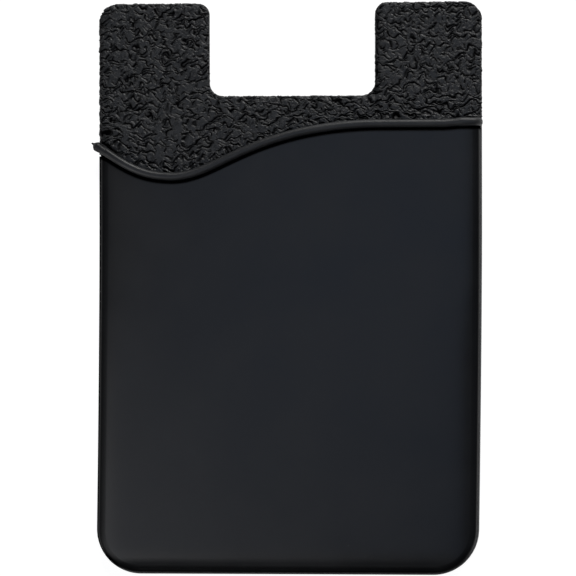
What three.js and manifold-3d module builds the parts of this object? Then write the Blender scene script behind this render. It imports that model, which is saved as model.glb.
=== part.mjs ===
// Stick-on card pocket for the back of a phone.
// One silicone moulding: a back panel with two ears and a thumb notch, and a pocket panel in front of it
// whose S-shaped mouth ends in a rounded lip. Behind it lie an adhesive sheet and its release liner.
// Millimetres, +Y towards the ears, +Z out of the front, origin at the centre of the back face.

import * as THREE from 'three';
import { mergeVertices } from 'three/addons/utils/BufferGeometryUtils.js';
import Module from 'manifold-3d';

const wasm = await Module();
wasm.setup();

// The card and its clearances in the slot
const cardWidth = 53.98;
const cardThickness = 0.76;
const cardSideClearance = 0.31;
const cardFaceClearance = 0.2;

// The moulding
const bodyHeight = 86;
const sideWall = 1.5;
const flangeWidth = 0.4;
const backThickness = 1;
const frontThickness = 0.9;
const frontCrown = 0.35;
const bottomCornerRadius = 6.8;
const earCornerRadius = 2.8;
const panelEdgeRadius = 0.4;
const pocketEdgeRadius = 1.2;
const slotEdgeRadius = 0.25;

// The thumb notch between the ears
const notchWidth = 24.9;
const notchDepth = 14;
const notchOffset = 0.35;
const notchTopRadius = 1.75;
const notchFloorRadius = 2.05;

// The mouth: a valley on the left and a crest on the right, under the notch
const bridgeHeight = 4.2;
const waveDepth = 8;
const leftRise = 3.1;
const leftSlope = 0.8;
const valleyInset = 11.1;
const crestInset = 14.8;

// The lip along the mouth, with a hooked tail that sticks out past the left side
const lipWidth = 1.25;
const lipProud = 0.45;
const lipUnderside = 0.05;
const lipFootTaper = 0.6;
const lipRootDepth = 0.3;
const tailReach = 0.95;
const tailHookRise = 0.7;
const tailTipWidth = 0.28;
const tailRootTaper = 0.94;

// The sheets behind
const adhesiveThickness = 0.2;
const adhesiveInset = 3;
const adhesiveCornerRadius = 4;
const linerThickness = 0.12;
const linerOverhang = 0.8;

// Fineness of the facets
const arcSteps = 8;
const edgeSteps = 5;
const sideSteps = 12;
const crownSteps = 5;
const lipSteps = 76;
const lipSectionSteps = 14;
const tailSteps = 12;

// Levels and edges that follow from the sizes
const halfWidth = cardWidth / 2 + cardSideClearance + sideWall;
const halfHeight = bodyHeight / 2;
const backLevel = linerThickness + adhesiveThickness;
const panelLevel = backLevel + backThickness;
const slotLevel = panelLevel + cardThickness + cardFaceClearance;
const frontLevel = slotLevel + frontThickness;
const notchFloor = halfHeight - notchDepth;
const crestHeight = notchFloor - bridgeHeight;
const valleyHeight = crestHeight - waveDepth;
const bendStart = halfWidth - flangeWidth - pocketEdgeRadius;
const lipHeight = frontThickness + lipProud + lipUnderside;
const lipDepth = lipHeight / 2 - lipProud;
const lipLevel = frontLevel - lipDepth;
const aboveAll = frontLevel + frontCrown + 2 * lipHeight;

// Body through a stack of rings with equal numbers of points. The two end faces are filled by the triangles
// of the flat outline that the rings share.
function loft(rings, outline) {
  const count = outline.length;
  const positions = rings.flat().flatMap((point) => point.toArray());
  const indices = [];
  for (let ring = 0; ring < rings.length - 1; ring++) {
    for (let i = 0; i < count; i++) {
      const a = ring * count + i;
      const b = ring * count + (i + 1) % count;
      indices.push(a, b, b + count, a, b + count, a + count);
    }
  }
  const last = (rings.length - 1) * count;
  for (const [a, b, c] of THREE.ShapeUtils.triangulateShape(outline, [])) {
    indices.push(a, c, b, last + a, last + b, last + c);
  }
  const geometry = new THREE.BufferGeometry();
  geometry.setAttribute('position', new THREE.Float32BufferAttribute(positions, 3));
  geometry.setIndex(indices);
  return geometry;
}

function solid(geometry) {
  const bare = geometry.clone();
  bare.deleteAttribute('normal');
  bare.deleteAttribute('uv');
  const merged = mergeVertices(bare, 1e-4);
  const mesh = new wasm.Mesh({
    numProp: 3,
    vertProperties: new Float32Array(merged.attributes.position.array),
    triVerts: new Uint32Array(merged.index.array),
  });
  return new wasm.Manifold(mesh);
}

function geometryOf(manifold) {
  const mesh = manifold.getMesh();
  const geometry = new THREE.BufferGeometry();
  geometry.setAttribute('position', new THREE.BufferAttribute(mesh.vertProperties, 3));
  geometry.setIndex(new THREE.BufferAttribute(mesh.triVerts, 1));
  geometry.computeVertexNormals();
  return geometry;
}

// Plate between two levels whose upper edge is rounded
function roundedPlate(outlineAt, low, high, edgeRadius) {
  const rings = [outlineAt(0).map((p) => new THREE.Vector3(p.x, p.y, low))];
  for (let step = 0; step <= edgeSteps; step++) {
    const angle = (Math.PI / 2) * step / edgeSteps;
    const inset = edgeRadius * (1 - Math.cos(angle));
    const level = high - edgeRadius * (1 - Math.sin(angle));
    rings.push(outlineAt(inset).map((p) => new THREE.Vector3(p.x, p.y, level)));
  }
  return loft(rings, outlineAt(0));
}

// Corner arc of an outline that runs anticlockwise. A positive turn is an outer corner, whose radius shrinks
// with the inset, and a negative turn is an inner one, whose radius grows with it.
function corner(path, x, y, radius, startAngle, turn, inset) {
  const grown = radius - Math.sign(turn) * inset;
  path.absarc(x, y, grown, startAngle, startAngle + turn * Math.PI / 2, turn < 0);
}

// Outline of the back panel, drawn in by an inset
function panelOutline(inset) {
  const path = new THREE.Path();
  const left = -halfWidth;
  const right = halfWidth;
  const notchLeft = notchOffset - notchWidth / 2;
  const notchRight = notchOffset + notchWidth / 2;
  const r = bottomCornerRadius;
  const e = earCornerRadius;
  const t = notchTopRadius;
  const f = notchFloorRadius;
  corner(path, left + r, -halfHeight + r, r, Math.PI, 1, inset);
  corner(path, right - r, -halfHeight + r, r, 1.5 * Math.PI, 1, inset);
  corner(path, right - e, halfHeight - e, e, 0, 1, inset);
  corner(path, notchRight + t, halfHeight - t, t, 0.5 * Math.PI, 1, inset);
  corner(path, notchRight - f, notchFloor + f, f, 0, -1, inset);
  corner(path, notchLeft + f, notchFloor + f, f, 1.5 * Math.PI, -1, inset);
  corner(path, notchLeft - t, halfHeight - t, t, 0, 1, inset);
  corner(path, left + e, halfHeight - e, e, 0.5 * Math.PI, 1, inset);
  return path.getPoints(arcSteps / 2);
}

// Rounded rectangle of the body's width and height, drawn in by an inset, with points along its straight
// sides too, so that a face on it can be crowned
function pocketOutline(inset) {
  const x = halfWidth - bottomCornerRadius;
  const y = halfHeight - bottomCornerRadius;
  const radius = bottomCornerRadius - inset;
  const arcs = [[-x, -y], [x, -y], [x, y], [-x, y]].map(([cx, cy], index) => {
    const start = Math.PI + index * Math.PI / 2;
    return new THREE.EllipseCurve(cx, cy, radius, radius, start, start + Math.PI / 2).getPoints(arcSteps);
  });
  return arcs.flatMap((arc, index) => {
    const next = arcs[(index + 1) % arcs.length];
    const side = new THREE.LineCurve(arc.at(-1), next[0]);
    return [...arc, ...side.getPoints(sideSteps).slice(1, -1)];
  });
}

// Rise of the front above its edge: full in the middle, none along the body's outline
function crownAt(x, y) {
  return frontCrown * (1 - (x / halfWidth) ** 2) * (1 - (y / halfHeight) ** 2);
}

// Crowned block on the body's rectangle, drawn in by an inset, with its upper edge rounded
function crownedBlock(inset, low, high, edgeRadius) {
  const lift = (points, level) => points.map((p) => new THREE.Vector3(p.x, p.y, level + crownAt(p.x, p.y)));
  const foot = pocketOutline(inset);
  const rings = [foot.map((p) => new THREE.Vector3(p.x, p.y, low))];
  for (let step = 0; step <= edgeSteps; step++) {
    const angle = (Math.PI / 2) * step / edgeSteps;
    const drawnIn = inset + edgeRadius * (1 - Math.cos(angle));
    rings.push(lift(pocketOutline(drawnIn), high - edgeRadius * (1 - Math.sin(angle))));
  }
  const rim = pocketOutline(inset + edgeRadius);
  for (let step = crownSteps; step > 0; step--) {
    const share = step / (crownSteps + 1);
    rings.push(lift(rim.map((p) => p.clone().multiplyScalar(share)), high));
  }
  return loft(rings, foot);
}

// Mouth of the pocket seen from the front, between the two rounded side edges: it falls to the valley, climbs
// steeply and then gently to the crest, and runs level to the right
function mouthLine() {
  const valley = -halfWidth + valleyInset;
  const crest = halfWidth - crestInset;
  const leftHeight = valleyHeight + leftRise;
  const leftHandle = 0.3 * (valley + bendStart);
  const fallHandle = 0.46 * (valley + bendStart);
  const climbHandle = 0.2 * (crest - valley);
  const crestHandle = 0.62 * (crest - valley);
  const line = new THREE.Path();
  line.moveTo(-bendStart, leftHeight);
  line.bezierCurveTo(-bendStart + leftHandle, leftHeight - leftSlope * leftHandle,
    valley - fallHandle, valleyHeight, valley, valleyHeight);
  line.bezierCurveTo(valley + climbHandle, valleyHeight,
    crest - crestHandle, crestHeight, crest, crestHeight);
  line.lineTo(bendStart, crestHeight);
  return line;
}

// Stations of the lip: along the mouth at a constant depth under the pocket's skin, and at both ends over the
// rounded side edge and straight down into the back panel. Across is the level direction over the lip.
function lipStations(line) {
  const bend = pocketEdgeRadius - lipDepth;
  const foot = frontLevel - pocketEdgeRadius - panelLevel + lipRootDepth;
  const station = ({ x, y }, tangent, drop, taper) => ({
    centre: new THREE.Vector3(x, y, lipLevel + crownAt(x, y) - drop),
    across: new THREE.Vector3(-tangent.y, tangent.x, 0),
    taper,
  });
  const middle = line.getSpacedPoints(lipSteps).map((point, index) =>
    station(point, line.getTangentAt(index / lipSteps), 0, 1));
  const ends = [-1, 1].map((side) => {
    const point = line.getPointAt((1 + side) / 2);
    const tangent = line.getTangentAt((1 + side) / 2);
    const slope = new THREE.Vector2(side, side * tangent.y / tangent.x);
    const outward = (distance) => point.clone().addScaledVector(slope, distance);
    const stations = [station(outward(bend), tangent, bend + foot, lipFootTaper)];
    for (let step = edgeSteps; step > 0; step--) {
      const angle = (Math.PI / 2) * step / edgeSteps;
      stations.push(station(outward(bend * Math.sin(angle)), tangent, bend * (1 - Math.cos(angle)), 1));
    }
    return stations;
  });
  return [...ends[0], ...middle, ...ends[1].reverse()];
}

// Elliptical section carried along stations
function sweep(stations, width, height) {
  const section = new THREE.EllipseCurve(0, 0, width / 2, height / 2).getPoints(lipSectionSteps).slice(0, -1);
  const rings = stations.map(({ centre, across, taper }, index) => {
    const before = stations[Math.max(0, index - 1)].centre;
    const after = stations[Math.min(stations.length - 1, index + 1)].centre;
    const up = after.clone().sub(before).cross(across).normalize();
    return section.map((p) => centre.clone()
      .addScaledVector(across, p.x * taper)
      .addScaledVector(up, p.y * taper));
  });
  return loft(rings, section);
}

// Stations of the tail, from its blunt tip back into the lip: a hook that soon widens to the lip section
function tailStations(line) {
  const root = line.getPointAt(0);
  const tangent = line.getTangentAt(0);
  const sideHeight = root.y + (bendStart - halfWidth) * tangent.y / tangent.x;
  const hookHeight = sideHeight + 0.75 * tailHookRise;
  const tipHeight = sideHeight + tailHookRise;
  const curve = new THREE.CatmullRomCurve3([
    new THREE.Vector3(-halfWidth - tailReach, tipHeight, lipLevel - tailTipWidth),
    new THREE.Vector3(-halfWidth - tailReach / 2, hookHeight, lipLevel - tailTipWidth / 2),
    new THREE.Vector3(-halfWidth, sideHeight, lipLevel),
    new THREE.Vector3(root.x, root.y, lipLevel + crownAt(root.x, root.y)),
  ]);
  const tipTaper = tailTipWidth / lipWidth;
  return curve.getSpacedPoints(tailSteps).map((centre, index) => {
    const share = index / tailSteps;
    const along = curve.getTangentAt(share);
    const widening = THREE.MathUtils.smoothstep(share, 0.15, 0.6);
    return {
      centre,
      across: new THREE.Vector3(-along.y, along.x, 0).normalize(),
      taper: THREE.MathUtils.lerp(tipTaper, tailRootTaper, widening),
    };
  });
}

// Everything beyond the mouth line, as a block that opens the pocket
function mouthCutter(line) {
  const before = line.getPointAt(0).addScaledVector(line.getTangentAt(0), -halfWidth);
  const after = line.getPointAt(1).addScaledVector(line.getTangentAt(1), halfWidth);
  const outline = [before, ...line.getSpacedPoints(lipSteps), after,
    new THREE.Vector2(after.x, bodyHeight), new THREE.Vector2(before.x, bodyHeight)];
  return new THREE.ExtrudeGeometry(new THREE.Shape(outline), { depth: aboveAll, bevelEnabled: false });
}

function cardPocket() {
  const line = mouthLine();
  const panel = solid(roundedPlate(panelOutline, backLevel, panelLevel, panelEdgeRadius));
  const shell = solid(crownedBlock(flangeWidth, backLevel + backThickness / 2, frontLevel, pocketEdgeRadius));
  const slot = solid(crownedBlock(sideWall, panelLevel, slotLevel, slotEdgeRadius));
  const lip = solid(sweep(lipStations(line), lipWidth, lipHeight));
  const tail = solid(sweep(tailStations(line), lipWidth, lipHeight));
  return geometryOf(shell.subtract(solid(mouthCutter(line))).subtract(slot).add(panel).add(lip).add(tail));
}

// Rectangle with rounded corners on the panel below the notch, drawn in from its edges
function sheet(inset, radius, low, thickness) {
  const half = halfWidth - inset;
  const bottom = -halfHeight + inset;
  const top = notchFloor - inset;
  const shape = new THREE.Shape();
  shape.absarc(-half + radius, bottom + radius, radius, Math.PI, 1.5 * Math.PI);
  shape.absarc(half - radius, bottom + radius, radius, 1.5 * Math.PI, 2 * Math.PI);
  shape.absarc(half - radius, top - radius, radius, 0, 0.5 * Math.PI);
  shape.absarc(-half + radius, top - radius, radius, 0.5 * Math.PI, Math.PI);
  const geometry = new THREE.ExtrudeGeometry(shape, {
    depth: thickness,
    bevelEnabled: false,
    curveSegments: arcSteps / 2,
  });
  return geometry.translate(0, 0, low);
}

function named(name, geometry, color, roughness) {
  const mesh = new THREE.Mesh(geometry, new THREE.MeshStandardMaterial({ color, roughness, metalness: 0 }));
  mesh.name = name;
  return mesh;
}

const holder = new THREE.Group();
holder.add(
  named('card_pocket', cardPocket(), 0x26272a, 0.55),
  named('adhesive_sheet', sheet(adhesiveInset, adhesiveCornerRadius, linerThickness, adhesiveThickness),
    0xd9d9d6, 0.4),
  named('release_liner', sheet(adhesiveInset - linerOverhang, adhesiveCornerRadius + linerOverhang, 0,
    linerThickness), 0xece7d8, 0.5),
);

export default holder;
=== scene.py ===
import math

import bmesh
import bpy
import numpy as np
from mathutils import Matrix


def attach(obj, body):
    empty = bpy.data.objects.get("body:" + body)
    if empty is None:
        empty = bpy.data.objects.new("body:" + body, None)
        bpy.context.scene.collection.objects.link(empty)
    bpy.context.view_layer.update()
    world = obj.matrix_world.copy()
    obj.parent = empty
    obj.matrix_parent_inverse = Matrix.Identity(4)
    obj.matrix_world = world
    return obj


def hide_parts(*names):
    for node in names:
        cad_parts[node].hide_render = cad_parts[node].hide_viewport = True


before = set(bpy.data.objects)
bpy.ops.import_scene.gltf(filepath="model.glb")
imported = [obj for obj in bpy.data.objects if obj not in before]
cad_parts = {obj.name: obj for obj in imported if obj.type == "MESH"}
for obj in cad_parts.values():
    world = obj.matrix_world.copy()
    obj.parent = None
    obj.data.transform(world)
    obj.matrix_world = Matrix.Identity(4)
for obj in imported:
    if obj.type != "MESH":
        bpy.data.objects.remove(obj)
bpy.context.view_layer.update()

# Lengths are in millimetres here, and are turned into metres when a mesh is made
MM = 0.001

# The moulding
HALF_WIDTH = 28.8
HALF_HEIGHT = 43.0
BACK_LEVEL = 0.32
PANEL_LEVEL = 1.32
SLOT_LEVEL = 2.28
FRONT_LEVEL = 3.18
FRONT_CROWN = 0.35
FLANGE = 0.4
SIDE_WALL = 1.5
PANEL_EDGE_RADIUS = 0.4
POCKET_EDGE_RADIUS = 1.2
BOTTOM_CORNER_RADIUS = 6.8
EAR_CORNER_RADIUS = 2.8

# The thumb notch between the ears
NOTCH_LEFT = -12.1
NOTCH_RIGHT = 12.8
NOTCH_FLOOR = 29.0
NOTCH_TOP_RADIUS = 1.75
NOTCH_FLOOR_RADIUS = 2.05

# The mouth line
BEND_START = HALF_WIDTH - FLANGE - POCKET_EDGE_RADIUS
VALLEY = (-17.7, 16.8)
CREST = (14.0, 24.8)
LEFT_HEIGHT = 19.9
LEFT_SLOPE = 0.8

# The lip and its tail
LIP_WIDTH = 1.25
LIP_HEIGHT = 1.4
LIP_PROUD = 0.45
LIP_LEVEL = FRONT_LEVEL - (LIP_HEIGHT / 2 - LIP_PROUD)
LIP_BEND = POCKET_EDGE_RADIUS - (LIP_HEIGHT / 2 - LIP_PROUD)
LIP_FOOT = FRONT_LEVEL - POCKET_EDGE_RADIUS - PANEL_LEVEL + 0.3
LIP_FOOT_TAPER = 0.6
LIP_SWELL = 0.14
LIP_SWELL_PLACE = 25.9
LIP_SWELL_REACH = 1.0
# Painted shade on the lip towards its left end: how dark, and the span over which it starts
LIP_PAINTED_SHADE = 0.25
LIP_SHADE_START = (23.5, 26.5)
TAIL_REACH = 0.95
TAIL_HOOK_RISE = 0.7
TAIL_TIP_WIDTH = 0.28
TAIL_ROOT_TAPER = 0.94
TAIL_SWELL = 0.22
TAIL_RINGS = 48

# The soft lip lies higher than the mouth line round one place near its left end, and lower from the
# valley on, until it comes up again before its right end
LIP_RISE = 0.5
LIP_RISE_PLACE = -25.2
LIP_RISE_REACH = 4.2
LIP_DROP = 0.18
LIP_DROP_START = (-18.0, -11.0)
LIP_END_RISE = 0.22
LIP_END_START = (22.8, 26.0)

# The lower body lies a little to the left: how far at its end, the height where that starts, and its length
LEAN = 0.59
LEAN_START = 10.0
LEAN_LENGTH = 53.0

# The grained panel ends this far below the mouth line, under the lip
HEM = 1.0


def crown_at(x, y):
    """Rise of the front above its edge: the crown times 1 - (x / half width)^2 and 1 - (y / half
    height)^2."""
    return FRONT_CROWN * (1 - (x / HALF_WIDTH) ** 2) * (1 - (y / HALF_HEIGHT) ** 2)


def smooth(low, high, value):
    """Smooth step 3t^2 - 2t^3 of value between low and high."""
    share = np.clip((value - low) / (high - low), 0, 1)
    return share * share * (3 - 2 * share)


def bell(distance, reach):
    """Bell curve exp(-(distance / reach)^2)."""
    return np.exp(-(distance / reach) ** 2)


def fading(gap, depth, reach):
    """A depth at an edge that fades with the gap to it: depth times exp(-gap / reach)."""
    return depth * np.exp(-np.maximum(gap, 0) / reach)


# Plan curves: each is a pair of points and outward normals, both count x 2


def straight(start, end, normal, count=2):
    """Even points from start to end, with one normal."""
    share = np.linspace(0, 1, count)[:, None]
    points = np.array(start) * (1 - share) + np.array(end) * share
    return points, np.tile(np.array(normal, float), (count, 1))


def arc(centre, radius, start, end, count=33, inner=False):
    """Centre + radius (cos a, sin a) with a going evenly from start to end degrees. On an inner corner the
    material lies outside the circle, so the normal points to its centre."""
    angle = np.radians(np.linspace(start, end, count))
    radial = np.stack([np.cos(angle), np.sin(angle)], axis=-1)
    return np.array(centre) + radius * radial, -radial if inner else radial


def bezier(start, first, second, end, count=200):
    """Cubic Bezier curve: the Bernstein sum of its four points."""
    t = np.linspace(0, 1, count)[:, None]
    p0, p1, p2, p3 = (np.array(p, float) for p in (start, first, second, end))
    return (1 - t) ** 3 * p0 + 3 * (1 - t) ** 2 * t * p1 + 3 * (1 - t) * t ** 2 * p2 + t ** 3 * p3


def join(*runs):
    """Runs one after the other, each without its first point where that repeats the last one before."""
    points = np.concatenate([runs[0][0]] + [run[0][1:] for run in runs[1:]])
    normals = np.concatenate([runs[0][1]] + [run[1][1:] for run in runs[1:]])
    return points, normals


def flip(run):
    """The same run from its end to its start."""
    return run[0][::-1], run[1][::-1]


def distances(points):
    """Distance along a line of points from its start."""
    steps = np.linalg.norm(np.diff(points, axis=0), axis=1)
    return np.concatenate([[0], np.cumsum(steps)])


def spread(run, shares):
    """A run taken again at the given shares of its length, by linear interpolation."""
    points, normals = run
    along = distances(points)
    targets = np.asarray(shares) * along[-1]
    moved = np.stack([np.interp(targets, along, points[:, k]) for k in range(2)], axis=-1)
    turned = np.stack([np.interp(targets, along, normals[:, k]) for k in range(2)], axis=-1)
    return moved, turned / np.linalg.norm(turned, axis=1, keepdims=True)


def even(run, count):
    """A run taken again at evenly spaced points."""
    return spread(run, np.linspace(0, 1, count))


def coons(bottom, top, left, right):
    """Coons patch between four plan lines: the blend from bottom to top plus the blend from left to right,
    less the bilinear blend of the corners. Rows go from bottom to top."""
    u = np.linspace(0, 1, len(bottom))[None, :, None]
    v = np.linspace(0, 1, len(left))[:, None, None]
    across = (1 - v) * bottom[None] + v * top[None]
    along = (1 - u) * left[:, None] + u * right[:, None]
    corners = ((1 - u) * (1 - v) * bottom[0] + u * (1 - v) * bottom[-1]
               + (1 - u) * v * top[0] + u * v * top[-1])
    return across + along - corners


def mouth_line():
    """Plan points of the mouth between the two rounded side edges: two Bezier curves and a level line,
    plus the rise of the soft lip, a bell curve, and its drop, the difference of two smooth steps."""
    start = (-BEND_START, LEFT_HEIGHT)
    fall = VALLEY[0] + BEND_START
    climb = CREST[0] - VALLEY[0]
    down = bezier(start, (start[0] + 0.3 * fall, LEFT_HEIGHT - LEFT_SLOPE * 0.3 * fall),
                  (VALLEY[0] - 0.46 * fall, VALLEY[1]), VALLEY)
    up = bezier(VALLEY, (VALLEY[0] + 0.2 * climb, VALLEY[1]), (CREST[0] - 0.62 * climb, CREST[1]), CREST)
    level = straight(CREST, (BEND_START, CREST[1]), (0, 1), 60)[0]
    line = np.concatenate([down, up[1:], level[1:]])
    x = line[:, 0]
    drop = LIP_DROP * smooth(*LIP_DROP_START, x) - LIP_END_RISE * smooth(*LIP_END_START, x)
    line[:, 1] += LIP_RISE * bell(x - LIP_RISE_PLACE, LIP_RISE_REACH) - drop
    return line


MOUTH = mouth_line()


def mouth_height(x):
    """Height of the mouth line over x. Beyond its left end it goes on along its slope, and beyond its right
    end it stays level."""
    inside = np.interp(x, MOUTH[:, 0], MOUTH[:, 1])
    return inside + LEFT_SLOPE * np.maximum(-BEND_START - x, 0)


# The leather-like grain of the back panel

# Its sizes of crease, from large to small: seed, length, height, width of the cut, the noise level above
# which a crease is there, share of the full depth, and drop of the scale below it
CREASE_SIZES = (
    (21, 3.1, 1.8, 0.12, -0.04, 1.0, 0.036),
    (31, 2.3, 1.4, 0.11, -0.02, 0.95, 0.034),
    (41, 1.35, 0.9, 0.09, 0.0, 0.8, 0.024),
    (81, 0.75, 0.55, 0.07, 0.08, 0.4, 0.014))
CREASE_DEPTH = 0.24
PEBBLE_HEIGHT = 0.026
SWELL_HEIGHT = 0.045

# The gap over the left end of the lip, which is also painted dark as its shadow: its height above the
# mouth line, its reach, depth and start
GAP_OVER_LIP = 0.85
GAP_REACH = 0.30
GAP_DEPTH = 0.35
GAP_START = (25.0, 27.5)

# Soft fall of the panel towards its edges, and the painted shade of the edges that face left
SHOULDER_REACH = 0.4
SHOULDER_DEPTH = 0.14
LEFT_SHOULDER_DEPTH = 0.42
SHADE_REACH = 0.6
OUTER_SHADE = 0.25
NOTCH_SHADE = 0.55


def noise(x, y, seed):
    """Gradient noise: each corner of a unit lattice has a random direction, and its dot products with the
    offsets to the point are blended with the fade 6t^5 - 15t^4 + 10t^3."""
    size = 256
    turn = np.random.default_rng(seed).uniform(0, 2 * np.pi, (size, size))
    cell_x = np.floor(x).astype(int)
    cell_y = np.floor(y).astype(int)
    part_x = x - cell_x
    part_y = y - cell_y

    def pull(step_x, step_y):
        angle = turn[(cell_x + step_x) % size, (cell_y + step_y) % size]
        return np.cos(angle) * (part_x - step_x) + np.sin(angle) * (part_y - step_y)

    def fade(t):
        return t ** 3 * (t * (6 * t - 15) + 10)

    low = pull(0, 0) + fade(part_x) * (pull(1, 0) - pull(0, 0))
    high = pull(0, 1) + fade(part_x) * (pull(1, 1) - pull(0, 1))
    return low + fade(part_y) * (high - low)


def creases(x, y, seed, length, height, width, kept):
    """Broken wavy creases along the zero line of a stretched noise. The distance to the line is the noise
    over its slope. A crease is a bell curve of the distance, weaker where it runs upright, and gone where
    a second noise is below the kept level. The step is the drop from the scale above, which rises towards
    its lower edge, to the scale below."""
    nudge = 0.02
    least_slope = 0.05
    softness = 0.06
    upright_strength = 0.3
    step_reach = 0.5
    field = noise(x / length, y / height, seed)
    slope_x = (noise((x + nudge) / length, y / height, seed) - field) / nudge
    slope_y = (noise(x / length, (y + nudge) / height, seed) - field) / nudge
    slope = np.hypot(slope_x, slope_y) + least_slope
    above = field * np.sign(slope_y) / slope
    level = smooth(0.10, 0.60, np.abs(slope_y) / slope)
    breaks = noise(x / (0.55 * length) + 40, y / (0.7 * height), seed + 1)
    presence = smooth(kept - softness, kept + softness, breaks)
    strength = presence * (upright_strength + (1 - upright_strength) * level)
    cut = bell(above, width) * strength
    step = np.tanh(above / width) * np.exp(-np.abs(above) / step_reach) * strength
    return cut, step


def beside_notch(y):
    """1 at the height of the ears and 0 below the notch, by a smooth step."""
    return smooth(NOTCH_FLOOR - 1, NOTCH_FLOOR + 1, y)


def edge_shoulder(x, y):
    """Soft fall of the panel towards its edges, fading with the distance to each of them. It is deeper
    along the two edges that face left than along those that face right, the top and the notch floor."""
    ears = beside_notch(y)
    under = (smooth(NOTCH_LEFT - 0.5, NOTCH_LEFT + 1.5, x)
             * (1 - smooth(NOTCH_RIGHT - 1.5, NOTCH_RIGHT + 0.5, x)))
    facing_left = (fading(HALF_WIDTH + x, LEFT_SHOULDER_DEPTH, SHOULDER_REACH)
                   + ears * fading(np.abs(x - NOTCH_RIGHT), LEFT_SHOULDER_DEPTH, SHOULDER_REACH))
    facing_right = (fading(HALF_WIDTH - x, SHOULDER_DEPTH, SHOULDER_REACH)
                    + ears * fading(np.abs(x - NOTCH_LEFT), SHOULDER_DEPTH, SHOULDER_REACH))
    level = (fading(HALF_HEIGHT - y, SHOULDER_DEPTH, SHOULDER_REACH)
             + under * fading(np.abs(y - NOTCH_FLOOR), SHOULDER_DEPTH, SHOULDER_REACH))
    return facing_left + facing_right + level


def left_shade(x, y):
    """Painted shade along the edges that face left, which are turned from the light: a bell curve of the
    distance to the outer edge, and a deeper one at the notch."""
    notch = beside_notch(y) * bell(x - NOTCH_RIGHT, SHADE_REACH)
    return OUTER_SHADE * bell(HALF_WIDTH + x, SHADE_REACH) + NOTCH_SHADE * notch


def grain(x, y):
    """Height of the grain over the smooth panel, and how much painted shade each point gets, from 0 to 1.
    The place is first warped by two noises. The sizes of crease are joined as 1 - the product of
    (1 - cut), and their steps, pebbles and a slow swell are added up. There is a gap above the left end
    of the lip. Shade is painted dark in a deep cut, as shadow in the gap, and along the edges that face
    left, which are turned from the light."""
    warp_x = x + 0.70 * noise(x / 1.2, y / 1.0, 11) + 0.09 * noise(x / 0.5, y / 0.5, 12)
    warp_y = y + 0.95 * noise(x / 1.15 + 9, y / 1.3, 13) + 0.09 * noise(x / 0.5, y / 0.5 + 5, 14)
    uncut = 1.0
    steps = 0.0
    for seed, length, height, width, kept, share, drop in CREASE_SIZES:
        cut, step = creases(warp_x, warp_y, seed, length, height, width, kept)
        uncut = uncut * (1 - share * cut)
        steps = steps + drop * step
    joined = 1 - uncut
    pebbles = PEBBLE_HEIGHT * noise(x / 0.5, y / 0.45, 51)
    swell = SWELL_HEIGHT * noise(x / 2.2, y / 1.6, 61)
    gap = bell(y - mouth_height(x) - GAP_OVER_LIP, GAP_REACH) * smooth(*GAP_START, -x)
    relief = steps - CREASE_DEPTH * joined + pebbles + swell - GAP_DEPTH * gap
    return relief, np.clip(1.1 * joined ** 1.5 + gap + left_shade(x, y), 0, 1)


# Meshes


def set_sideways(points):
    """The soft lower body lies a little to the left: x falls by the lean times the share of the way down
    to the power 1.5."""
    share = np.maximum(LEAN_START - points[..., 1], 0) / LEAN_LENGTH
    moved = points.copy()
    moved[..., 0] -= LEAN * share ** 1.5
    return moved


class Skin:
    """Grids of points and flat closing faces, welded into one closed mesh. Each point also has two
    numbers from 0 to 1 for its material: how much painted shade it gets, and how much painted highlight."""

    def __init__(self):
        self.points = []
        self.painted_shade = []
        self.wear_and_painted_highlight = []
        self.faces = []
        self.count = 0

    def grid(self, points, painted_shade=0.0, wear_and_painted_highlight=0.0, wrap=False):
        """Adds a rows x columns grid as quads. With wrap the last column is joined to the first."""
        rows, columns = points.shape[:2]
        index = self.count + np.arange(rows * columns).reshape(rows, columns)
        if wrap:
            index = np.concatenate([index, index[:, :1]], axis=1)
        quads = np.stack([index[:-1, :-1], index[:-1, 1:], index[1:, 1:], index[1:, :-1]], axis=-1)
        self.faces.extend(quads.reshape(-1, 4).tolist())
        self.keep(points, painted_shade, wear_and_painted_highlight)

    def flat(self, loop):
        """Closes an opening with one flat face through a loop of points."""
        self.faces.append(list(range(self.count, self.count + len(loop))))
        self.keep(loop, 0.0, 0.0)

    def keep(self, points, painted_shade, wear_and_painted_highlight):
        """Stores points with their two numbers."""
        self.points.append(points.reshape(-1, 3))
        self.painted_shade.append(np.broadcast_to(painted_shade, points.shape[:-1]).ravel())
        self.wear_and_painted_highlight.append(np.broadcast_to(wear_and_painted_highlight, points.shape[:-1]).ravel())
        self.count += points.size // 3

    def mesh(self, name, sharp_degrees):
        """Welds the points, turns the faces outwards and shades smooth up to an angle between faces."""
        mesh = bpy.data.meshes.new(name)
        mesh.from_pydata((set_sideways(np.concatenate(self.points)) * MM).tolist(), [], self.faces)
        for key, values in (("painted_shade", self.painted_shade), ("wear_and_painted_highlight", self.wear_and_painted_highlight)):
            layer = mesh.attributes.new(key, "FLOAT", "POINT")
            layer.data.foreach_set("value", np.concatenate(values).astype(np.float32))
        welded = bmesh.new()
        welded.from_mesh(mesh)
        bmesh.ops.remove_doubles(welded, verts=welded.verts, dist=2e-4 * MM)
        bmesh.ops.dissolve_degenerate(welded, edges=welded.edges, dist=1e-5 * MM)
        bmesh.ops.recalc_face_normals(welded, faces=welded.faces)
        welded.to_mesh(mesh)
        welded.free()
        mesh.shade_smooth()
        mesh.set_sharp_from_angle(angle=math.radians(sharp_degrees))
        return mesh


def add_piece(name, skin, material, node, sharp_degrees=40):
    """One piece of the moulding: its mesh, material and body, and the CAD node that it stands for."""
    obj = bpy.data.objects.new(name, skin.mesh(name, sharp_degrees))
    bpy.context.scene.collection.objects.link(obj)
    obj.data.materials.append(material)
    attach(obj, "root")
    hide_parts(node)
    return obj


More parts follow.
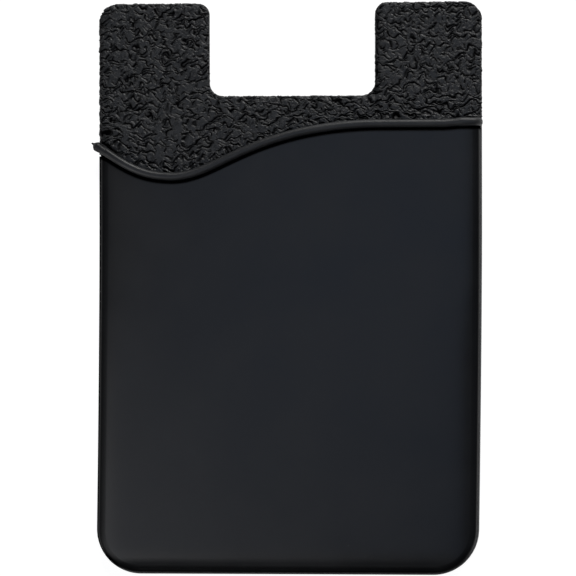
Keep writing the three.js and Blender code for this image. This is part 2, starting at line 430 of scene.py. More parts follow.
def lifted(plan, level):
    """Plan points at a level, which may be one number or one for each point."""
    return np.concatenate([plan, np.broadcast_to(level, plan.shape[:-1])[..., None]], axis=-1)


# The grained back panel above the mouth line, in two halves that meet under the notch

EAR_COLUMNS = 186
BRIDGE_COLUMNS = 258
LOWER_ROWS = 140
UPPER_ROWS = 150


def grained(plan):
    """Front skin over plan points: the panel level plus the grain, less the soft fall towards the edges."""
    # The second value, depth, is the painted shade of the grain, not a height
    height, depth = grain(plan[..., 0], plan[..., 1])
    return lifted(plan, PANEL_LEVEL + height - edge_shoulder(plan[..., 0], plan[..., 1])), depth


def grained_edge(run):
    """Rounded edge of the panel carried along a run of the outline. Its profile is a quarter circle and
    then the straight side wall. The grain goes on over it, taken at the unrolled place and laid along the
    normal, stronger on the side so that it shows in the outline, and fades out towards the back."""
    inner, normal = run
    radius = PANEL_EDGE_RADIUS
    side_strength = 1.7
    turn = np.radians(np.linspace(0, 90, 8))
    below = np.linspace(0, PANEL_LEVEL - radius - BACK_LEVEL, 7)[1:]
    outward = np.concatenate([radius * np.sin(turn), np.full(len(below), radius)])
    level = np.concatenate([PANEL_LEVEL - radius * (1 - np.cos(turn)), PANEL_LEVEL - radius - below])
    unrolled = np.concatenate([radius * turn, radius * np.pi / 2 + below])
    side = np.concatenate([np.sin(turn), np.ones(len(below))])
    front = np.concatenate([np.cos(turn), np.zeros(len(below))])
    place = inner[:, None] + normal[:, None] * unrolled[None, :, None]
    # The second value, depth, is the painted shade of the grain, not a height
    height, depth = grain(place[..., 0], place[..., 1])
    fade = 1 - smooth(0.9, 1.2, unrolled)
    swing = height * fade
    shoulder = edge_shoulder(inner[:, 0], inner[:, 1])[:, None]
    plan = inner[:, None] + normal[:, None] * (outward + side_strength * side * swing)[..., None]
    return lifted(plan, level + front * (swing - shoulder)), depth * fade


def outline_runs():
    """Runs of the panel's outline above the mouth, drawn in by the edge radius, so that the rounded edge is
    laid outside them. The patches meet at the middle of the corner arcs."""
    e = PANEL_EDGE_RADIUS
    ear = EAR_CORNER_RADIUS
    top = NOTCH_TOP_RADIUS
    foot = NOTCH_FLOOR_RADIUS
    reach = HALF_WIDTH - ear
    rise = HALF_HEIGHT - ear
    high = HALF_HEIGHT - top
    low = NOTCH_FLOOR + foot
    foot_left = (NOTCH_LEFT + foot, low)
    foot_right = (NOTCH_RIGHT - foot, low)
    floor = join(arc(foot_left, foot + e, 225, 270, inner=True),
                 straight((foot_left[0], NOTCH_FLOOR - e), (foot_right[0], NOTCH_FLOOR - e), (0, 1)),
                 arc(foot_right, foot + e, 270, 315, inner=True))
    joint = floor[0][0, 1]
    left_side = join(straight((-HALF_WIDTH + e, joint), (-HALF_WIDTH + e, rise), (-1, 0)),
                     arc((-reach, rise), ear - e, 180, 135))
    left_top = join(arc((-reach, rise), ear - e, 135, 90),
                    straight((-reach, HALF_HEIGHT - e), (NOTCH_LEFT - top, HALF_HEIGHT - e), (0, 1)),
                    arc((NOTCH_LEFT - top, high), top - e, 90, 45))
    left_wall = join(arc((NOTCH_LEFT - top, high), top - e, 45, 0),
                     straight((NOTCH_LEFT - e, high), (NOTCH_LEFT - e, low), (1, 0)),
                     arc(foot_left, foot + e, 180, 225, inner=True))
    right_wall = join(arc(foot_right, foot + e, 315, 360, inner=True),
                      straight((NOTCH_RIGHT + e, low), (NOTCH_RIGHT + e, high), (-1, 0)),
                      arc((NOTCH_RIGHT + top, high), top - e, 180, 135))
    right_top = join(arc((NOTCH_RIGHT + top, high), top - e, 135, 90),
                     straight((NOTCH_RIGHT + top, HALF_HEIGHT - e), (reach, HALF_HEIGHT - e), (0, 1)),
                     arc((reach, rise), ear - e, 90, 45))
    right_side = join(arc((reach, rise), ear - e, 45, 0),
                      straight((HALF_WIDTH - e, rise), (HALF_WIDTH - e, joint), (1, 0)))
    return floor, left_side, left_top, left_wall, right_wall, right_top, right_side


def lower_band(ear_left, floor_points, ear_right):
    """Band from the hem up to the level of the notch floor: each column goes straight up from the hem
    line to the top line."""
    top = np.concatenate([ear_left, floor_points[1:], ear_right[1:]])
    hem = np.stack([top[:, 0], mouth_height(top[:, 0]) - HEM], axis=-1)
    share = np.linspace(0, 1, LOWER_ROWS)[:, None, None]
    return (1 - share) * hem[None] + share * top[None]


def wall_below(line):
    """Plain wall from a line on the front skin straight down to the back level."""
    foot = line.copy()
    foot[:, 2] = BACK_LEVEL
    return np.stack([line, foot])


floor_run, left_side, left_top, left_wall, right_wall, right_top, right_side = outline_runs()
floor_line = even(floor_run, BRIDGE_COLUMNS)
seam_left = floor_line[0][0]
seam_right = floor_line[0][-1]
ear_line_left = straight((-HALF_WIDTH + PANEL_EDGE_RADIUS, seam_left[1]), seam_left, (0, 1), EAR_COLUMNS)[0]
ear_line_right = straight(seam_right, (HALF_WIDTH - PANEL_EDGE_RADIUS, seam_right[1]), (0, 1),
                          EAR_COLUMNS)[0]
panel_band = lower_band(ear_line_left, floor_line[0], ear_line_right)
middle_column = EAR_COLUMNS - 1 + BRIDGE_COLUMNS // 2


def half_panel(band, upper_sides, edge, end_column):
    """Closed half of the grained panel. The end column is the one at the middle of the bridge."""
    bottom, top, left, right = upper_sides
    skin = Skin()
    front_band, band_shade = grained(band)
    front_upper, upper_shade = grained(coons(bottom, top, left, right))
    side, side_shade = grained_edge(edge)
    skin.grid(front_band, band_shade)
    skin.grid(front_upper, upper_shade)
    skin.grid(side, side_shade)
    hem_wall = wall_below(front_band[0])
    end_wall = wall_below(front_band[:, end_column])
    skin.grid(hem_wall)
    skin.grid(end_wall)
    skin.flat(side[0])
    skin.flat(side[-1])
    return skin, hem_wall[1], end_wall[1], side[:, -1]


# Left half: the edge runs up the left side, round the ear, down the notch wall and along half of the floor
left_band = panel_band[:, :middle_column + 1]
left_upper = (ear_line_left, even(left_top, EAR_COLUMNS)[0], even(left_side, UPPER_ROWS)[0],
              even(flip(left_wall), UPPER_ROWS)[0])
hem_side_left = (left_band[:, 0], np.tile([-1.0, 0.0], (LOWER_ROWS, 1)))
floor_left = (floor_line[0][:BRIDGE_COLUMNS // 2 + 1], floor_line[1][:BRIDGE_COLUMNS // 2 + 1])
left_edge = join(hem_side_left, even(left_side, UPPER_ROWS), even(left_top, EAR_COLUMNS),
                 even(left_wall, UPPER_ROWS), floor_left)
left_skin, left_hem, left_end, left_back = half_panel(left_band, left_upper, left_edge, -1)
left_skin.flat(np.concatenate([left_back, left_end[::-1][1:], left_hem[::-1][1:]]))

# Right half: the edge runs along the other half of the floor, up the notch wall, round the ear and down
right_band = panel_band[:, middle_column:]
right_upper = (ear_line_right, even(right_top, EAR_COLUMNS)[0], even(right_wall, UPPER_ROWS)[0],
               even(flip(right_side), UPPER_ROWS)[0])
hem_side_right = (right_band[::-1, -1], np.tile([1.0, 0.0], (LOWER_ROWS, 1)))
floor_right = (floor_line[0][BRIDGE_COLUMNS // 2:], floor_line[1][BRIDGE_COLUMNS // 2:])
right_edge = join(floor_right, even(right_wall, UPPER_ROWS), even(right_top, EAR_COLUMNS),
                  even(right_side, UPPER_ROWS), hem_side_right)
right_skin, right_hem, right_end, right_back = half_panel(right_band, right_upper, right_edge, 0)
right_skin.flat(np.concatenate([right_back, right_hem[::-1][1:], right_end[1:]]))

# The smooth lower body

SIDE_POINTS = 110
FRONT_COLUMNS = 260

# The groove at the foot of the lip: its depth, its far wall's distance from the mouth line, the width of
# that wall, the depth and width of the small rounding at its brim, how far its painted shade reaches, and
# the distances of the rows of points that give it
GROOVE_DEPTH = 0.55
GROOVE_WALL = 1.0
GROOVE_WALL_START = 0.02
GROOVE_WALL_END = 0.015
GROOVE_BRIM_DEPTH = 0.02
GROOVE_BRIM_WIDTH = 0.15
GROOVE_SHADE_REACH = 0.35
GROOVE_ROWS = np.array([0, 0.5, 0.8, 0.95, 0.975, 0.99, 1.0, 1.012, 1.03, 1.055, 1.09, 1.14, 1.2, 1.3,
                        1.45])

# The front's soft falls and curls towards its edges: depth and reach of each
SIDE_FALL = (0.16, 0.9)
FOOT_FALL = (0.40, 0.7)
LEFT_CURL = (0.62, 4.0)
RIGHT_CURL = (0.26, 1.5)

# Its rolled edge: how far it drops, the thinnest skin over the slot and the panel, the steepest tilt that
# is carried into the roll, and the width and height of the flare at its foot
ROLL_DROP = 0.85
THINNEST_SKIN = 0.15
STEEPEST_TILT = 0.6
FLARE = (0.13, 0.12)

# Painted shade on the rolled edge, and how much more is painted at the bottom and on the left
ROLL_PAINTED_SHADE = 0.50
BOTTOM_PAINTED_SHADE = 0.44
LEFT_PAINTED_SHADE = 0.25


def lower_runs(inset):
    """Left side, bottom and right side of the lower outline, drawn in by an inset. The left side runs
    down from the mouth line, and the right side up to it. They meet the bottom in the middle of the arcs."""
    reach = HALF_WIDTH - BOTTOM_CORNER_RADIUS
    depth = HALF_HEIGHT - BOTTOM_CORNER_RADIUS
    radius = BOTTOM_CORNER_RADIUS - inset
    edge = HALF_WIDTH - inset
    left = join(straight((-edge, float(mouth_height(-edge))), (-edge, -depth), (-1, 0)),
                arc((-reach, -depth), radius, 180, 225))
    bottom = join(arc((-reach, -depth), radius, 225, 270),
                  straight((-reach, inset - HALF_HEIGHT), (reach, inset - HALF_HEIGHT), (0, -1)),
                  arc((reach, -depth), radius, 270, 315))
    right = join(arc((reach, -depth), radius, 315, 360),
                 straight((edge, -depth), (edge, float(mouth_height(edge))), (1, 0)))
    return left, bottom, right


def mouth_stretch(x):
    """Length of a step straight down for a distance of 1 from the mouth line: the root of 1 + slope^2."""
    slope = (mouth_height(x + 0.1) - mouth_height(x - 0.1)) / 0.2
    return np.hypot(1, slope)


def lower_plan(inset, near=(0.0,), drop=0.0):
    """Plan grid of the lower body, drawn in by an inset, and the run of its outline from the left end of
    the mouth round to the right end. The first rows lie at the near distances and the drop below the
    mouth line, and the others are a Coons patch that is finer near them."""
    near = np.asarray(near) + drop
    left, bottom, right = lower_runs(inset)
    bottom = even(bottom, FRONT_COLUMNS)
    ends = left[0][0, 0], right[0][-1, 0]
    across = np.linspace(ends[0], ends[1], FRONT_COLUMNS)
    rows = mouth_height(across) - near[:, None] * mouth_stretch(across)
    band = np.stack([np.broadcast_to(across, rows.shape), rows], axis=-1)
    shares = np.linspace(0, 1, SIDE_POINTS) ** 1.4
    left[0][0] = band[-1, 0]
    right[0][-1] = band[-1, -1]
    left = spread(left, shares)
    right = spread(right, 1 - shares[::-1])
    plan = coons(bottom[0], band[-1], left[0][::-1], right[0])
    whole = np.concatenate([plan, band[::-1][1:]])
    facing_left = np.tile([-1.0, 0.0], (len(near) - 1, 1))
    facing_right = np.tile([1.0, 0.0], (len(near) - 1, 1))
    run_left = (np.concatenate([band[:-1, 0], left[0]]), np.concatenate([facing_left, left[1]]))
    run_right = (np.concatenate([right[0], band[::-1][1:, -1]]), np.concatenate([right[1], facing_right]))
    return whole, join(run_left, bottom, run_right)


def groove_share(x, y, start, end):
    """1 within the groove at the foot of the lip and 0 below it, by a smooth step round its far wall,
    from a distance before the wall to one beyond it."""
    distance = (mouth_height(x) - y) / mouth_stretch(x)
    return 1 - smooth(GROOVE_WALL - start, GROOVE_WALL + end, distance)


def groove_shade(x, y):
    """Painted shade of the groove at each point: the share of the groove, which fades out beyond its wall."""
    return groove_share(x, y, GROOVE_WALL_START, GROOVE_SHADE_REACH)


def front_height(x, y):
    """Front skin: the front level plus the crown, less a soft fall towards the sides and the bottom and a
    curl of the upper left and lower right sides towards their edges, plus a slow unevenness of the
    moulded skin, less the groove at the foot of the lip, whose far wall is a steep smooth step with a
    small rounding."""
    wall = groove_share(x, y, GROOVE_WALL_START, GROOVE_WALL_END)
    rounding = groove_share(x, y, 0, GROOVE_BRIM_WIDTH)
    side_gap = BEND_START - np.abs(x)
    foot_gap = y + HALF_HEIGHT - FLANGE - POCKET_EDGE_RADIUS
    fall = fading(side_gap, *SIDE_FALL) + fading(foot_gap, *FOOT_FALL)
    curl = (fading(BEND_START + x, *LEFT_CURL) * smooth(-14, 12, y)
            + fading(BEND_START - x, *RIGHT_CURL) * smooth(-4, 12, -y))
    uneven = 0.014 * noise(x / 9, y / 11, 71) + 0.004 * noise(x / 3, y / 3.5, 72)
    groove = (GROOVE_DEPTH - GROOVE_BRIM_DEPTH) * wall + GROOVE_BRIM_DEPTH * rounding
    return FRONT_LEVEL + crown_at(x, y) - fall - curl + uneven - groove


def ceiling_height(x, y):
    """Ceiling of the card slot: the slot level plus the crown, but always under the front's thinnest skin."""
    return np.minimum(SLOT_LEVEL + crown_at(x, y), front_height(x, y) - THINNEST_SKIN)


def facing(rim):
    """How far each point of an outline faces left, right and down, by smooth steps of its normal."""
    normal = rim[1][:, None]
    left = smooth(0.3, 0.8, -normal[..., 0])
    right = smooth(0.3, 0.8, normal[..., 0])
    down = smooth(0.3, 0.8, -normal[..., 1])
    return left, right, down


def pocket_shell():
    """Front of the pocket as a closed shell: the crowned front, its edge rolled over a quarter ellipse
    and down the side wall to the panel, the flat foot, the inner wall, the ceiling of the card slot and
    the mouth edge. The roll first goes on along the tilt of the front, and its foot flares out."""
    plan, rim = lower_plan(FLANGE + POCKET_EDGE_RADIUS, GROOVE_ROWS)
    inner_plan, inner_rim = lower_plan(SIDE_WALL, GROOVE_ROWS)
    radius = POCKET_EDGE_RADIUS
    turn = np.radians(np.linspace(0, 90, 25))
    wall = np.linspace(0, 1, 12)[1:]
    top = front_height(rim[0][:, 0], rim[0][:, 1])[:, None]
    nudge = 0.05
    inside = rim[0] - nudge * rim[1]
    tilt = (front_height(inside[:, 0], inside[:, 1])[:, None] - top) / nudge
    drop = np.minimum(ROLL_DROP, top - PANEL_LEVEL - THINNEST_SKIN)
    carried = np.clip(tilt, 0, STEEPEST_TILT) * radius * np.sin(turn) * np.cos(turn) ** 4
    low = top - drop
    rolled = top - drop * (1 - np.cos(turn)) - carried
    level = np.concatenate([rolled, low + (PANEL_LEVEL - low) * wall], axis=1)
    flare = fading(level - PANEL_LEVEL, *FLARE)
    offset = np.concatenate([radius * np.sin(turn), np.full(len(wall), radius)]) + flare
    side = rim[0][:, None] + rim[1][:, None] * offset[..., None]
    near_mouth = np.exp(-distances(rim[0]) / 2)[:, None]
    side[..., 1] += LEFT_SLOPE * offset * near_mouth
    outer = np.concatenate([side, level[..., None]], axis=-1)
    ceiling = lifted(inner_plan, ceiling_height(inner_plan[..., 0], inner_plan[..., 1]))
    inner_top = lifted(inner_rim[0], ceiling_height(inner_rim[0][:, 0], inner_rim[0][:, 1]))
    inner_foot = lifted(inner_rim[0], PANEL_LEVEL)
    front = lifted(plan, front_height(plan[..., 0], plan[..., 1]))
    # The rolled edge is painted dark as shade, more at the bottom and on the left
    turned = np.concatenate([np.sin(turn) ** 0.45, np.ones(len(wall))])
    left, _, down = facing(rim)
    painted_darkening = (ROLL_PAINTED_SHADE + BOTTOM_PAINTED_SHADE * down + LEFT_PAINTED_SHADE * left) * turned
    skin = Skin()
    skin.grid(front, groove_shade(plan[..., 0], plan[..., 1]))
    skin.grid(outer, np.maximum(groove_shade(rim[0][:, 0], rim[0][:, 1])[:, None], painted_darkening))
    skin.grid(ceiling)
    skin.grid(np.stack([inner_top, inner_foot]))
    skin.grid(np.stack([outer[:, -1], inner_foot]))
    skin.grid(np.stack([front[-1], ceiling[-1]]))
    for end in (0, -1):
        skin.flat(np.concatenate([outer[end], inner_foot[end][None], inner_top[end][None]]))
    return skin


def pocket_floor():
    """Lower back panel as a closed plate: the slot floor, its rounded outer edge, the wall under the lip
    and the flat back. The edge gets painted shade on the left, a painted highlight on the right, and both
    at the bottom."""
    plan, rim = lower_plan(PANEL_EDGE_RADIUS, drop=HEM)
    turn = np.radians(np.linspace(0, 90, 9))
    offset = np.append(PANEL_EDGE_RADIUS * np.sin(turn), PANEL_EDGE_RADIUS)
    level = np.append(PANEL_LEVEL - PANEL_EDGE_RADIUS * (1 - np.cos(turn)), BACK_LEVEL)
    side = lifted(rim[0][:, None] + rim[1][:, None] * offset[None, :, None], level[None, :])
    top = lifted(plan, PANEL_LEVEL)
    wall = wall_below(top[-1])
    left, right, down = facing(rim)
    skin = Skin()
    skin.grid(top)
    # Painted shade on the left of the edge and a painted highlight on its right, both at the bottom
    skin.grid(side, 0.85 * left + 0.25 * down, np.maximum(right, 0.7 * down))
    skin.grid(wall)
    for end in (0, -1):
        skin.flat(side[end])
    skin.flat(np.concatenate([side[:, -1], wall[1][::-1]]))
    return skin


# The lip and its tail


def squared(wave):
    """A cosine or sine raised to the power 0.8 with its sign kept, which makes a circle a little
    squarish."""
    return np.sign(wave) * np.abs(wave) ** 0.8


def sweep(centres, across, tapers, painted_darkening, count=64):
    """The lip's squarish ellipse carried along a path: centre + taper (width / 2 c across + height / 2 s
    up), where c and s are the squared cosine and sine of the angle, and up is the path's direction
    crossed with the level direction across. Each centre also has a share of painted shade. Both ends are
    closed."""
    along = np.gradient(centres, axis=0)
    up = np.cross(along, across)
    up /= np.linalg.norm(up, axis=1, keepdims=True)
    angle = np.linspace(0, 2 * np.pi, count, endpoint=False)[None, :, None]
    sideways = LIP_WIDTH / 2 * squared(np.cos(angle)) * across[:, None]
    upwards = LIP_HEIGHT / 2 * squared(np.sin(angle)) * up[:, None]
    rings = centres[:, None] + tapers[:, None, None] * (sideways + upwards)
    skin = Skin()
    skin.grid(rings, painted_darkening[:, None], wrap=True)
    skin.flat(rings[0])
    skin.flat(rings[-1])
    return skin


def level_across(along):
    """Level unit direction to the left of a direction seen from the front."""
    across = np.stack([-along[:, 1], along[:, 0], np.zeros(len(along))], axis=-1)
    return across / np.linalg.norm(across, axis=1, keepdims=True)


def lip():
    """Rounded lip along the mouth, over both rolled side edges and down into the panel. The line goes on
    over each edge on an arc of the bend radius, along its slope in plan, and then straight down. The
    section swells a little before the right edge, and its skin is painted darker as shade to the left."""
    line, _ = even((MOUTH, np.ones_like(MOUTH)), 320)
    middle = lifted(line, LIP_LEVEL + crown_at(line[:, 0], line[:, 1]))
    middle_along = np.gradient(line, axis=0)
    turn = np.radians(np.linspace(0, 90, 13))[1:]
    reach = np.append(LIP_BEND * np.sin(turn), [LIP_BEND, LIP_BEND])
    drop = np.append(LIP_BEND * (1 - np.cos(turn)), [LIP_BEND + LIP_FOOT / 2, LIP_BEND + LIP_FOOT])
    end_tapers = np.append(np.ones(len(turn)), [0.8, LIP_FOOT_TAPER])
    ends = []
    for side, start, slope in ((-1, middle[0], -LEFT_SLOPE), (1, middle[-1], 0.0)):
        end = start + np.stack([side * reach, side * slope * reach, -drop], axis=-1)
        end_along = np.tile([1.0, slope], (len(reach), 1))
        ends.append((end, end_along))
    centres = np.concatenate([ends[0][0][::-1], middle, ends[1][0]])
    along = np.concatenate([ends[0][1][::-1], middle_along, ends[1][1]])
    swell = 1 + LIP_SWELL * bell(middle[:, 0] - LIP_SWELL_PLACE, LIP_SWELL_REACH)
    tapers = np.concatenate([end_tapers[::-1], swell, end_tapers])
    painted_darkening = LIP_PAINTED_SHADE * smooth(*LIP_SHADE_START, -centres[:, 0])
    return sweep(centres, level_across(along), tapers, painted_darkening)


def tail():
    """Hooked tail from a blunt tip outside the left edge back into the lip, on a Bezier curve. Its
    section widens from the tip by a smooth step of the share of the way, swells by a bell curve over the
    edge, and is blunted at the tip by the root of that share. It is painted darkest as shade at the
    tip."""
    side_height = LEFT_HEIGHT + LEFT_SLOPE * (HALF_WIDTH - BEND_START)
    root_height = MOUTH[0, 1]
    root = np.array([-BEND_START, root_height, LIP_LEVEL + crown_at(-BEND_START, root_height)])
    tip = np.array([-HALF_WIDTH - TAIL_REACH, side_height + TAIL_HOOK_RISE, LIP_LEVEL - TAIL_TIP_WIDTH])
    first = tip + np.array([0.4, -0.06, 0.1])
    second = np.array([-HALF_WIDTH + 0.2, side_height - 0.15, LIP_LEVEL])
    centres = bezier(tip, first, second, root, TAIL_RINGS)
    share = np.linspace(0, 1, TAIL_RINGS)
    least = TAIL_TIP_WIDTH / LIP_WIDTH
    widened = least + (TAIL_ROOT_TAPER - least) * smooth(0.16, 0.50, share)
    swollen = TAIL_SWELL * bell(share - 0.5, 0.17)
    blunt = np.sqrt(np.clip(share / 0.10, 0.04, 1))
    # Painted shade, darkest at the tip
    painted_darkening = 0.45 - 0.15 * share
    return sweep(centres, level_across(np.gradient(centres, axis=0)), (widened + swollen) * blunt, painted_darkening)


# Materials


class Number:
    """A number in a node tree. Arithmetic on it adds Math nodes."""

    def __init__(self, nodes, socket):
        self.nodes = nodes
        self.socket = socket

    def math(self, operation, first, second=0.0):
        made = self.nodes.add("ShaderNodeMath", {"operation": operation}, {0: first, 1: second})
        return Number(self.nodes, made.outputs[0])

    def __add__(self, other):
        return self.math("ADD", self, other)

    def __radd__(self, other):
        return self.math("ADD", other, self)

    def __sub__(self, other):
        return self.math("SUBTRACT", self, other)

    def __rsub__(self, other):
        return self.math("SUBTRACT", other, self)

    def __mul__(self, other):
        return self.math("MULTIPLY", self, other)

    def __rmul__(self, other):
        return self.math("MULTIPLY", other, self)


class Nodes:
    """The node tree of a material or of the world."""

    def __init__(self, owner):
        owner.use_nodes = True
        self.tree = owner.node_tree
        self.tree.nodes.clear()

    def add(self, kind, settings=None, inputs=None):
        """Any node: its type, its settings, and then the values or links of its sockets."""
        made = self.tree.nodes.new(kind)
        for key, value in (settings or {}).items():
            setattr(made, key, value)
        for key, value in (inputs or {}).items():
            self.feed(made.inputs[key], value)
        return made

    def feed(self, socket, value):
        """Links a number or a socket, or sets a plain value."""
        if isinstance(value, Number):
            value = value.socket
        if isinstance(value, bpy.types.NodeSocket):
            self.tree.links.new(value, socket)
        else:
            socket.default_value = value

    def between(self, share, low, high):
        """Share of a number on its way from low to high, held within 0 to 1."""
        made = self.add("ShaderNodeMapRange", {"clamp": True}, {
            "Value": share, "From Min": low, "From Max": high, "To Min": 0.0, "To Max": 1.0})
        return Number(self, made.outputs[0])

    def seen_directly(self):
        """1 for rays from the camera, in reflections and through glass, and 0 for light that falls on
        things."""
        rays = self.add("ShaderNodeLightPath").outputs
        return (Number(self, rays["Is Camera Ray"]) + Number(self, rays["Is Glossy Ray"])
                + Number(self, rays["Is Transmission Ray"]))


class Finish(Nodes):
    """A material's node tree around one Principled shader."""

    def __init__(self, name, constants):
        self.material = bpy.data.materials.new(name)
        super().__init__(self.material)
        self.shader = self.add("ShaderNodeBsdfPrincipled", {}, constants)
        self.output = self.add("ShaderNodeOutputMaterial", {}, {"Surface": self.shader.outputs[0]})
        self.place = self.add("ShaderNodeTexCoord").outputs["Object"]

    def noise(self, size, detail=2.0, roughness=0.5, stretch=(1, 1, 1)):
        """Noise whose features are about the given size in metres, stretched along the axes."""
        scaled = self.add("ShaderNodeMapping", {}, {
            "Vector": self.place, "Scale": [1 / share for share in stretch]})
        made = self.add("ShaderNodeTexNoise", {}, {
            "Vector": scaled.outputs[0], "Scale": 1 / size, "Detail": detail, "Roughness": roughness})
        return Number(self, made.outputs["Fac"])

    def attribute(self, name):
        """A number stored on the mesh."""
        return Number(self, self.add("ShaderNodeAttribute", {"attribute_name": name}).outputs["Fac"])

    def mix(self, share, first, second):
        """Colour that goes from the first to the second with the share."""
        made = self.add("ShaderNodeMix", {"data_type": "RGBA"}, {0: share, 6: first, 7: second})
        return made.outputs[2]

    def bump(self, height, distance, strength=1.0):
        """Fine relief from a height between 0 and 1, of the given depth in metres."""
        made = self.add("ShaderNodeBump", {}, {
            "Strength": strength, "Distance": distance, "Height": height})
        self.feed(self.shader.inputs["Normal"], made.outputs[0])

    def darken(self, share):
        """Mixes in a dull black that gives back no light: painted shade in deep creases, grooves
        and on shaded edges.
        """
        black = self.add("ShaderNodeBsdfPrincipled", {}, {
            "Base Color": PAINTED_SHADE_BLACK, "Roughness": 1.0, "Specular IOR Level": 0.0})
        mixed = self.add("ShaderNodeMixShader", {}, {
            0: share, 1: self.shader.outputs[0], 2: black.outputs[0]})
        self.feed(self.output.inputs["Surface"], mixed.outputs[0])


# Black of the painted shade in creases, grooves and edges turned from the light
PAINTED_SHADE_BLACK = (0.0006, 0.0006, 0.0008, 1)
SILICONE_BLACK = (0.0040, 0.0045, 0.0056, 1)
SILICONE_WORN = (0.0066, 0.0072, 0.0086, 1)
# Grey of the real dust specks and of the painted highlight on the flange
DUST_AND_HIGHLIGHT_GREY = (0.075, 0.076, 0.078, 1)


def smooth_silicone():
    """Moulded silicone of the pocket: blue-black with faint cloudy patches, a fine pitted skin and a dull
    sheen. The groove at the foot of the lip and the rolled edges are painted dark as shade, a few dust
    specks lie on the skin, and the thin flange has a painted highlight on its right side and along the
    bottom."""
    finish = Finish("smooth_silicone", {"IOR": 1.38})
    clouds = finish.between(finish.noise(12 * MM, 4.0, 0.6), 0.35, 0.65)
    pits = finish.between(finish.noise(0.35 * MM, 3.0, 0.6), 0.55, 0.72)
    painted_shade = finish.attribute("painted_shade")
    cells = finish.add("ShaderNodeTexVoronoi", {"feature": "F1"}, {
        "Vector": finish.place, "Scale": 1 / (4.5 * MM), "Randomness": 1.0})
    chosen = finish.between(Number(finish, finish.add("ShaderNodeSeparateColor", {}, {
        0: cells.outputs["Color"]}).outputs[0]), 0.80, 0.82)
    dust = chosen * (1 - finish.between(Number(finish, cells.outputs["Distance"]), 0.012, 0.035))
    # Painted highlight on the flange, mottled by a noise
    painted_highlight = finish.attribute("wear_and_painted_highlight") * (0.75 + 0.5 * finish.noise(1.6 * MM, 3.0, 0.6))
    body = finish.mix(0.5 * clouds + 0.3 * pits, SILICONE_BLACK, SILICONE_WORN)
    finish.feed(finish.shader.inputs["Base Color"],
                finish.mix(finish.between(0.8 * dust + painted_highlight, 0.0, 1.0), body, DUST_AND_HIGHLIGHT_GREY))
    finish.feed(finish.shader.inputs["Roughness"], 0.35 + 0.05 * clouds + 0.05 * pits)
    finish.darken(painted_shade)
    relief = 0.7 * finish.noise(0.22 * MM, 3.0, 0.6) + 0.3 * finish.noise(0.9 * MM, 2.0, 0.5)
    finish.bump(relief, 0.03 * MM, 0.5)
    return finish.material


def grained_silicone():
    """Silicone of the grained panel: the creases, the gap over the lip and the edges that face left get
    painted black shade and are duller, and fine pores lie between them.
    """
    finish = Finish("grained_silicone", {"IOR": 1.42})
    painted_crease_shade = finish.attribute("painted_shade")
    worn = finish.between(finish.noise(1.1 * MM, 3.0, 0.6), 0.4, 0.7)
    body = finish.mix(worn, SILICONE_BLACK, SILICONE_WORN)
    finish.feed(finish.shader.inputs["Base Color"], body)
    finish.feed(finish.shader.inputs["Roughness"], 0.42 + 0.08 * worn + 0.30 * painted_crease_shade)
    finish.darken(painted_crease_shade)
    finish.bump(finish.noise(0.16 * MM, 3.0, 0.6), 0.05 * MM, 0.8)
    return finish.material


def lip_silicone():
    """Silicone of the lip, a little rougher than the pocket, and painted darker as shade at its left end
    and on the tail.
    """
    finish = Finish("lip_silicone", {"IOR": 1.42})
    wear_and_painted_highlight = finish.between(finish.noise(3 * MM, 3.0, 0.6), 0.4, 0.65)
    finish.feed(finish.shader.inputs["Base Color"], finish.mix(wear_and_painted_highlight, SILICONE_BLACK, SILICONE_WORN))
    finish.feed(finish.shader.inputs["Roughness"], 0.45 + 0.08 * wear_and_painted_highlight)
    finish.darken(finish.attribute("painted_shade"))
    finish.bump(finish.noise(0.3 * MM, 3.0, 0.6), 0.03 * MM, 0.5)
    return finish.material


def adhesive_film():
    """Milky adhesive sheet with faint streaks from its coating."""
    finish = Finish("adhesive_film", {"IOR": 1.47, "Coat Weight": 0.3})
    streaks = finish.noise(4 * MM, 3.0, 0.5, (1, 8, 1))
    finish.feed(finish.shader.inputs["Base Color"],
                finish.mix(streaks, (0.66, 0.66, 0.63, 1), (0.76, 0.76, 0.74, 1)))
    finish.feed(finish.shader.inputs["Roughness"], 0.32 + 0.15 * streaks)
    finish.bump(streaks, 0.02 * MM, 0.5)
    return finish.material


def liner_paper():
    """Waxed liner paper: pale cream with short fibres."""
    finish = Finish("liner_paper", {"IOR": 1.45})
    fibres = finish.noise(0.6 * MM, 4.0, 0.65, (5, 1, 1))
    patches = finish.noise(10 * MM, 3.0, 0.5)
    finish.feed(finish.shader.inputs["Base Color"],
                finish.mix(0.6 * fibres + 0.4 * patches, (0.80, 0.76, 0.66, 1), (0.90, 0.87, 0.79, 1)))
    finish.feed(finish.shader.inputs["Roughness"], 0.46 + 0.14 * fibres)
    finish.bump(fibres, 0.03 * MM, 0.5)
    return finish.material


# The pieces with their materials

grain_finish = grained_silicone()
pocket_finish = smooth_silicone()
lip_finish = lip_silicone()
add_piece("grained_panel_left", left_skin, grain_finish, "card_pocket", 60)
add_piece("grained_panel_right", right_skin, grain_finish, "card_pocket", 60)
add_piece("pocket_shell", pocket_shell(), pocket_finish, "card_pocket")
add_piece("pocket_floor", pocket_floor(), pocket_finish, "card_pocket")
add_piece("mouth_lip", lip(), lip_finish, "card_pocket")
add_piece("lip_tail", tail(), lip_finish, "card_pocket")

for node, finish_of_node in (("adhesive_sheet", adhesive_film()), ("release_liner", liner_paper())):
    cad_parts[node].data.materials.clear()
    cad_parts[node].data.materials.append(finish_of_node)

# Floor, world, lamps and camera

# The floor's grey and its own glow, and the height over which the world falls from white to dim, as the
# upward part of the direction
FLOOR_GREY = (0.22, 0.22, 0.22, 1)
FLOOR_GLOW = 0.90
HORIZON = (0.10, 0.17)


